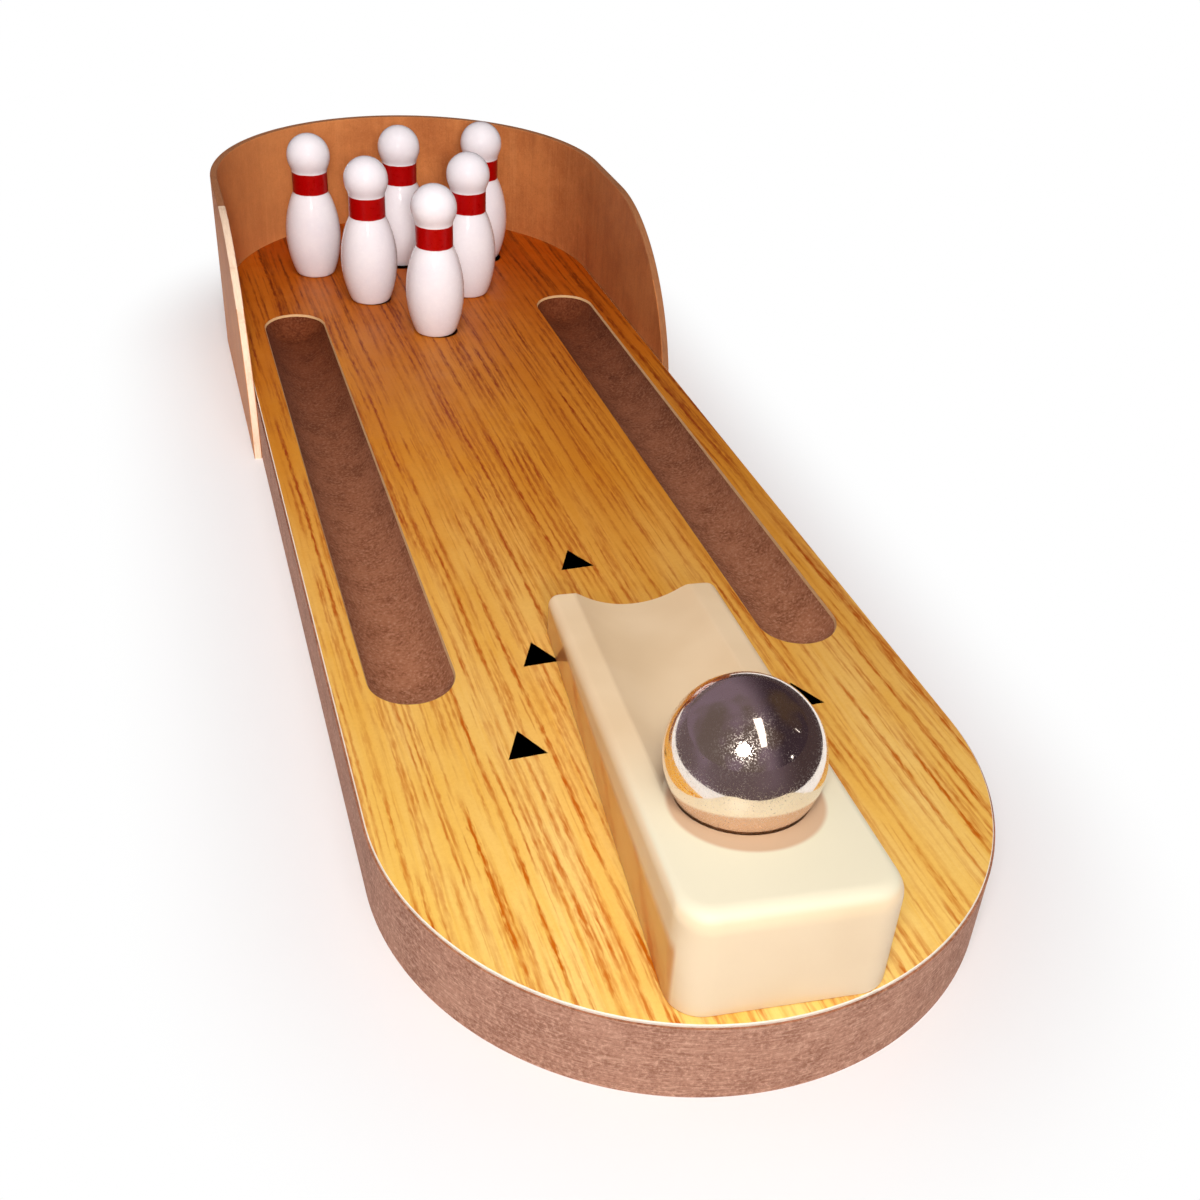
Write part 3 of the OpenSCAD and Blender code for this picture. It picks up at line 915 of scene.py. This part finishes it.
def trough_cutter():
    """What the trough takes out: its half outline is spun for the round near end and pulled
    out past the far end. Its lips turn outwards in a round, and end a hair above the top."""
    rise = 0.01 * MM
    lip_z = rise - TROUGH_LIP
    centre_z = TROUGH_RADIUS - TROUGH_DEPTH
    lip_x = math.sqrt((TROUGH_RADIUS + TROUGH_LIP) ** 2 - (centre_z - lip_z) ** 2)
    touch = math.atan2(lip_x, centre_z - lip_z)
    steps, lip_steps, clear = 14, 8, 6 * MM
    outline = [(TROUGH_RADIUS * math.sin(touch * i / steps),
                centre_z - TROUGH_RADIUS * math.cos(touch * i / steps)) for i in range(steps + 1)]
    for i in range(1, lip_steps + 1):
        angle = touch * (1 - i / lip_steps)
        outline.append((lip_x - TROUGH_LIP * math.sin(angle),
                        lip_z + TROUGH_LIP * math.cos(angle)))
    outline += [(lip_x, clear), (0, clear)]
    cutter = start("trough_cutter", bpy.ops.mesh.primitive_circle_add, vertices=len(outline),
                   radius=MM)
    for vertex, (x, z) in zip(cutter.data.vertices, outline):
        vertex.co = (x, 0, z)
    shape(cutter)
    pick("edges", lambda edge: max(abs(end.co.x) for end in edge.verts) > CLOSE)
    bpy.ops.mesh.spin(steps=48, angle=-math.pi, center=(0, 0, 0), axis=(0, 0, 1))
    weld()
    pick("edges", lambda edge: edge.is_boundary)
    pull((0, 2 * RAMP_LENGTH, 0))
    bpy.ops.mesh.edge_face_add()
    weld()
    bpy.ops.mesh.normals_make_consistent(inside=False)
    done()
    return cutter


def on_slope(piece):
    """Tilts a piece with the ramp's top, whose height over the pivot becomes its zero."""
    return move(piece, Matrix.Translation((0, 0, RAMP_TOP)) @ Matrix.Rotation(-SLOPE, 4, "X"))


def ramp_hollow():
    """The moulding's open underside, one wall away from the outside and the trough."""
    half = RAMP_WIDTH / 2 - RAMP_WALL
    hollow = slab("hollow", (-half, RAMP_NEAR + RAMP_WALL, -MM),
                  (half, RAMP_FAR - RAMP_WALL, RAMP_NEAR_HEIGHT))
    shape(hollow)
    cut_slope(RAMP_TOP - RAMP_WALL / math.cos(SLOPE))
    done()
    soften(hollow, 0.8 * MM, 60, 3)
    under_trough = start("under_trough", bpy.ops.mesh.primitive_uv_sphere_add, segments=64,
                         ring_count=32, radius=TROUGH_RADIUS + RAMP_WALL,
                         rotation=(math.pi / 2, 0, 0),
                         location=(0, 0, TROUGH_RADIUS - TROUGH_DEPTH))
    shape(under_trough)
    pick("faces", lambda face: middle(face).y > 0)
    pull((0, 2 * RAMP_LENGTH, 0))
    done()
    carve(hollow, on_slope(under_trough))
    for rib_y in RIB_PLACES:
        carve(hollow, slab("rib", (-RAMP_WIDTH, rib_y, -2 * MM),
                           (RAMP_WIDTH, rib_y + RIB_THICKNESS, RAMP_NEAR_HEIGHT)))
    carve(hollow, post("screw_post", SCREW_POST_RADIUS, -2 * MM, RAMP_NEAR_HEIGHT))
    return hollow


def make_ramp():
    """Moulded ramp with its trough, ball dish and hollow underside."""
    ramp = ramp_block()
    carve(ramp, on_slope(trough_cutter()))
    dish_rise = DISH_RADIUS - TROUGH_DEPTH - DISH_DEPTH
    carve(ramp, on_slope(start("dish", bpy.ops.mesh.primitive_uv_sphere_add, segments=96,
                               ring_count=48, radius=DISH_RADIUS, location=(0, 0, dish_rise))))
    carve(ramp, ramp_hollow())
    carve(ramp, post("screw_hole", SCREW_HOLE, -MM, SCREW_HOLE_TOP))
    soften_far_lip(ramp)
    smooth(ramp, 40)
    move(ramp, Matrix.Translation((PIVOT.x, PIVOT.y, RAMP_REST))
         @ Matrix.Rotation(RAMP_TURN, 4, "Z"))
    dress(ramp, ivory_moulding())
    return ramp


def soften_far_lip(ramp):
    """Rounds the arc where the trough leaves the far end."""
    shape(ramp)
    pick("edges", lambda edge: all(abs(end.co.y - RAMP_FAR) < 2 * CLOSE for end in edge.verts)
         and abs(edge.verts[0].co.x - edge.verts[1].co.x) > CLOSE
         and middle(edge).z > 2 * MM and edge.calc_face_angle(0) > math.radians(40))
    bpy.ops.mesh.bevel(offset=0.45 * MM, segments=3, profile=0.5, affect="EDGES",
                       clamp_overlap=True)
    done()


def pin_radius(z):
    """Radius of a pin at a height above the lane."""
    if z < PIN_NECK_Z:
        swing = ((PIN_BELLY - PIN_NECK) ** 2 + (PIN_NECK_Z - PIN_BELLY_Z) ** 2) / (
            2 * (PIN_BELLY - PIN_NECK))
        radius = PIN_BELLY - swing + math.sqrt(swing ** 2 - (z - PIN_BELLY_Z) ** 2)
        if z < PIN_FOOT:
            radius -= PIN_FOOT - math.sqrt(PIN_FOOT ** 2 - (PIN_FOOT - z) ** 2)
        return radius
    head = math.sqrt(max(PIN_HEAD ** 2 - (z - PIN_HEIGHT + PIN_HEAD) ** 2, 0))
    if z > PIN_HEIGHT - PIN_HEAD:
        return head
    return PIN_NECK + PIN_FILLET * math.log1p(math.exp((head - PIN_NECK) / PIN_FILLET))


def make_pin():
    """One pin at the origin, drawn up ring by ring from its foot."""
    head_z = PIN_HEIGHT - PIN_HEAD
    under_head = head_z - math.sqrt(PIN_HEAD ** 2 - PIN_NECK ** 2)
    belly_rings, neck_rings, fillet_rings, head_rings, step = 26, 6, 7, 22, 0.1 * MM
    neck_top = under_head - (fillet_rings + 1) * step
    heights = [0.06 * MM, 0.16 * MM, 0.3 * MM, PIN_FOOT]
    heights += [PIN_FOOT + (PIN_NECK_Z - PIN_FOOT) * i / belly_rings
                for i in range(1, belly_rings + 1)]
    heights += [PIN_NECK_Z + (neck_top - PIN_NECK_Z) * i / neck_rings
                for i in range(1, neck_rings + 1)]
    heights += [under_head + i * step for i in range(-fillet_rings, fillet_rings + 1)]
    low = math.asin((heights[-1] - head_z) / PIN_HEAD)
    heights += [head_z + PIN_HEAD * math.sin(low + (math.pi / 2 - low) * i / head_rings)
                for i in range(1, head_rings)]
    pin = start("pin", bpy.ops.mesh.primitive_circle_add, vertices=72, radius=pin_radius(0),
                fill_type="NGON")
    shape(pin)
    radius, level = pin_radius(0), 0
    for height in heights:
        pull((0, 0, height - level))
        wider = pin_radius(height) / radius
        bpy.ops.transform.resize(value=(wider, wider, 1), center_override=(0, 0, height))
        radius, level = pin_radius(height), height
    bpy.ops.mesh.inset(thickness=radius * 0.5)
    bpy.ops.transform.translate(value=(0, 0, 0.75 * (PIN_HEIGHT - level)))
    bpy.ops.mesh.poke()
    pick("verts", lambda vertex: math.hypot(vertex.co.x, vertex.co.y) < SAME_POINT)
    bpy.ops.transform.translate(value=(0, 0, 0.25 * (PIN_HEIGHT - level)))
    weld()
    bpy.ops.mesh.normals_make_consistent(inside=False)
    done()
    make_foot(pin)
    take(pin)
    bpy.ops.object.shade_smooth_by_angle(angle=math.radians(60))
    return pin


def make_foot(pin):
    """Leaves a narrow ring to stand on round a slightly hollow foot."""
    shape(pin)
    pick("faces", lambda face: face.normal.z < -0.99 and middle(face).z < CLOSE)
    ring, slope, depth = 1.1 * MM, 0.4 * MM, 0.4 * MM
    bpy.ops.mesh.inset(thickness=ring)
    bpy.ops.mesh.inset(thickness=slope)
    bpy.ops.transform.translate(value=(0, 0, depth))
    done()


def make_pins():
    """Six pins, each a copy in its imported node's place."""
    first = make_pin()
    finish = pin_plastic()
    for node in PINS:
        low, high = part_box(node)
        pin = first.copy()
        pin.data = first.data.copy()
        pin.name = pin.data.name = "bowling_" + node
        bpy.context.collection.objects.link(pin)
        move(pin, Matrix.Translation(((low.x + high.x) / 2, (low.y + high.y) / 2, low.z)))
        dress(pin, finish)
        hand_over(pin, node)
    bpy.data.objects.remove(first)


def make_ball():
    """Steel ball, drawn from a cube so that its faces are even all over."""
    radius = (BALL_HIGH.z - BALL_LOW.z) / 2
    centre = (BALL_LOW + BALL_HIGH) / 2
    ball = start("steel_ball", bpy.ops.mesh.primitive_cube_add, size=2 * radius)
    shape(ball)
    bpy.ops.mesh.subdivide(number_cuts=47)
    bpy.ops.transform.tosphere(value=1.0)
    done()
    bpy.ops.object.shade_smooth()
    grown = radius / ball.data.vertices[0].co.length
    move(ball, Matrix.Translation(centre) @ Matrix.Scale(grown, 4))
    dress(ball, polished_steel())
    return ball


def make_screw():
    """Pan-head screw with a plain shank, a thread and a cross recess."""
    under = SCREW_LOW.z
    screw = post("pivot_screw_turned", HEAD_RADIUS, under, under + HEAD_HEIGHT, sides=72)
    shape(screw)
    pick("edges", lambda edge: all(abs(end.co.z - under) < CLOSE for end in edge.verts))
    bpy.ops.mesh.bevel(offset=HEAD_ROUND, segments=6, profile=0.5, affect="EDGES")
    pick("faces", lambda face: face.normal.z > 0.9)
    bpy.ops.mesh.inset(thickness=HEAD_RADIUS - SHANK_RADIUS)
    pull((0, 0, SHANK_TOP - under - HEAD_HEIGHT))
    bpy.ops.mesh.inset(thickness=SHANK_RADIUS - THREAD_RADIUS)
    for _ in range(THREAD_TURNS):
        for wider in (THREAD_ROOT, 1 / THREAD_ROOT):
            pull((0, 0, THREAD_PITCH / 2))
            bpy.ops.transform.resize(value=(wider, wider, 1), center_override=(0, 0, 0))
    done()
    half_long, half_wide = RECESS_SIZE.x / 2, RECESS_SIZE.y / 2
    for angle in (45, 135):
        slot = slab("slot", (-half_long, -half_wide, under - MM),
                    (half_long, half_wide, under + RECESS_SIZE.z))
        carve(screw, move(slot, Matrix.Rotation(math.radians(angle), 4, "Z")))
    soften(screw, 0.1 * MM, 50, 2)
    smooth(screw)
    return move(screw, Matrix.Translation((PIVOT.x, PIVOT.y, 0)))


def make_washer():
    """Stamped washer with softened rims."""
    washer = post("pivot_washer_stamped", (WASHER_HIGH.x - WASHER_LOW.x) / 2, WASHER_LOW.z,
                  WASHER_HIGH.z, sides=96)
    carve(washer, post("washer_hole", SHEET_HOLE, 0, LANE))
    soften(washer, 0.15 * MM, 40, 3)
    smooth(washer)
    return move(washer, Matrix.Translation((PIVOT.x, PIVOT.y, 0)))


# Stage


def make_floor():
    """Pale floor that keeps the object's shadow and turns plain white a little farther away."""
    floor = start("floor", bpy.ops.mesh.primitive_plane_add, size=8)
    shape(floor)
    bpy.ops.mesh.subdivide(number_cuts=7)
    done()
    made, tree = material("pale_floor", Roughness=0.9, Base_Color=(0.9, 0.9, 0.91, 1))
    place = put(tree, "TexCoord").outputs["Object"]
    beyond = calc(tree, "SUBTRACT", calc(tree, "ABSOLUTE", axis(tree, place, "Y")), FAR_Y)
    beside = put(tree, "CombineXYZ", {"X": axis(tree, place, "X"),
                                      "Y": calc(tree, "MAXIMUM", beyond, 0.0)}).outputs[0]
    away = span(tree, length(tree, beside), ROUND - 6 * MM, ROUND + 34 * MM)
    rays = put(tree, "LightPath")
    seen = calc(tree, "MAXIMUM", rays.outputs["Is Camera Ray"], rays.outputs["Is Glossy Ray"])
    seen = calc(tree, "MAXIMUM", seen, rays.outputs["Is Transmission Ray"])
    white = put(tree, "Emission", {"Color": (1, 1, 1, 1), "Strength": 1.0})
    mixed = put(tree, "MixShader", {0: times(tree, seen, away),
                                    1: tree.nodes["Principled BSDF"].outputs[0],
                                    2: white.outputs[0]})
    feed(tree, tree.nodes["Material Output"].inputs["Surface"], mixed.outputs[0])
    dress(floor, made)


def make_world():
    """Dim room with a bright horizon, plain white where it is seen directly."""
    world = bpy.data.worlds.new("studio")
    bpy.context.scene.world = world
    world.use_nodes = True
    tree = world.node_tree
    rays = put(tree, "LightPath")
    way = put(tree, "TexCoord").outputs["Generated"]
    low = span(tree, axis(tree, way, "Z"), 0.5, 0.1)
    horizon = times(tree, rays.outputs["Is Diffuse Ray"], low)
    shapes = span(tree, noise(tree, way, 0.9, 2.0), 0.42, 0.58)
    left = tint(tree, shapes, rgb(104, 92, 90), rgb(122, 106, 120))
    right = tint(tree, shapes, rgb(76, 60, 50), rgb(58, 46, 54))
    dim = over(tree, left, right, axis(tree, way, "X"), 0.1, 0.6)
    room = tint(tree, horizon, dim, rgb(190, 182, 186))
    background = tree.nodes["Background"].inputs
    feed(tree, background["Color"], tint(tree, rays.outputs["Is Camera Ray"], room, (1, 1, 1, 1)))
    background["Strength"].default_value = 1.0


def make_screen():
    """Low dark screen round the object, which glows dimly and only shows in polished and glossy
    things, as a painted reflection of a dim room.
    """
    reach, nearer, height = ROUND + 70 * MM, 12 * MM, 60 * MM
    screen = start("dark_screen", bpy.ops.mesh.primitive_cylinder_add, vertices=96, radius=reach,
                   depth=height, end_fill_type="NOTHING", location=(0, FAR_Y, height / 2))
    shape(screen)
    bpy.ops.mesh.bisect(plane_co=(0, FAR_Y, 0), plane_no=(0, 1, 0))
    pick("verts", lambda vertex: vertex.co.y < FAR_Y - MM)
    bpy.ops.transform.translate(value=(0, NEAR_Y - FAR_Y + nearer, 0))
    done()
    screen.visible_camera = screen.visible_diffuse = screen.visible_shadow = False
    # Painted reflection: it glows dimly though it is no lamp.
    made, tree = material("painted_room_reflection", Roughness=1.0, Base_Color=(0, 0, 0, 1),
                          Emission_Strength=1.0)
    place = put(tree, "TexCoord").outputs["Object"]
    reflection_patches = span(tree, noise(tree, place, 0.16, 2.0), 0.4, 0.62)
    shade = tint(tree, reflection_patches, rgb(100, 86, 90), rgb(122, 106, 120))
    shade = over(tree, shade, rgb(66, 52, 54), axis(tree, place, "X"), -20 * MM, 80 * MM)
    feed(tree, tree.nodes["Principled BSDF"].inputs["Emission Color"], shade)
    dress(screen, made)


def make_lamp(name, kind, place, target, watts, colour, **settings):
    """A lamp at a place, turned to a target."""
    lamp = bpy.data.lights.new(name, kind)
    lamp.energy, lamp.color = watts, colour
    for label, value in settings.items():
        setattr(lamp, label, value)
    holder = bpy.data.objects.new(name, lamp)
    bpy.context.collection.objects.link(holder)
    holder.location = place
    holder.rotation_euler = (Vector(target) - Vector(place)).to_track_quat("-Z", "Y").to_euler()
    return holder


def make_lamps(camera):
    """A small lamp by the camera, one on the pins, a long one overhead, and three that are dim
    and only draw the ball's small lights."""
    flash = camera.matrix_world @ Vector((-4 * MM, 19 * MM, 12 * MM))
    make_lamp("lamp_by_camera", "AREA", flash, (0, 20 * MM, LANE), 0.172, (1.0, 0.97, 0.94),
              shape="DISK", size=0.05)
    pins = Vector((-24 * MM, FAR_Y + 12 * MM, LANE + 22 * MM))
    behind = pins + 1.7 * (camera.location - pins)
    on_pins = make_lamp("lamp_on_pins", "SPOT", behind, pins, 7.2, (1.0, 0.96, 0.94),
                        shadow_soft_size=0.03, spot_size=math.radians(24), spot_blend=1.0)
    long_lamp = {"shape": "RECTANGLE", "size": 0.2, "size_y": 0.9}
    overhead = make_lamp("lamp_overhead", "AREA", (-0.1, -0.6, 1.1), (-0.1, -0.6, 0), 8.4,
                         (1.0, 0.97, 0.93), **long_lamp)
    on_pins.visible_glossy = overhead.visible_glossy = False
    make_lamp("lamp_tube", "AREA", (0.155, -0.6, 1.1), (0.155, -0.6, 0), 1.3, (1.0, 0.97, 0.93),
              **long_lamp)
    make_lamp("lamp_right_high", "AREA", (1.96, -0.42, 1.1), (0, 0, 0), 0.06, (1.0, 0.98, 0.96),
              shape="RECTANGLE", size=0.02, size_y=0.3)
    make_lamp("lamp_right_low", "AREA", (1.4, -1.41, 0.69), (0, 0, 0), 0.1, (1.0, 0.98, 0.96),
              shape="DISK", size=0.1)


def make_camera():
    """Camera at the photograph's angle: heading to the right of Y, tilt down and roll."""
    data = bpy.data.cameras.new("camera")
    data.lens = 41.09
    data.clip_start, data.clip_end = 0.005, 20
    camera = bpy.data.objects.new("camera", data)
    bpy.context.collection.objects.link(camera)
    heading, tilt, roll = (math.radians(angle) for angle in (19.787, -34.478, 3.646))
    eye = (-61.91 * MM, -230.28 * MM, LANE + 130.25 * MM)
    camera.matrix_world = (Matrix.Translation(eye)
                           @ Matrix.Rotation(-heading, 4, "Z")
                           @ Matrix.Rotation(math.pi / 2 + tilt, 4, "X")
                           @ Matrix.Rotation(roll, 4, "Z"))
    bpy.context.scene.camera = camera
    return camera


# Assembly

hand_over(make_core(), "base_board")
hand_over(make_sheet(), "lane_sheet")
hand_over(make_strip(), "backstop")
hand_over(make_ramp(), "ramp")
hand_over(make_ball(), "ball")
make_pins()
screw, washer, zinc = make_screw(), make_washer(), zinc_steel()
dress(screw, zinc)
dress(washer, zinc)
hand_over(screw, "pivot_screw")
hand_over(washer, "pivot_washer")
dress(frame["nodes"]["lane_marks"], black_ink())

make_floor()
make_screen()
make_world()
make_lamps(make_camera())
bpy.context.scene.view_settings.view_transform = "Standard"
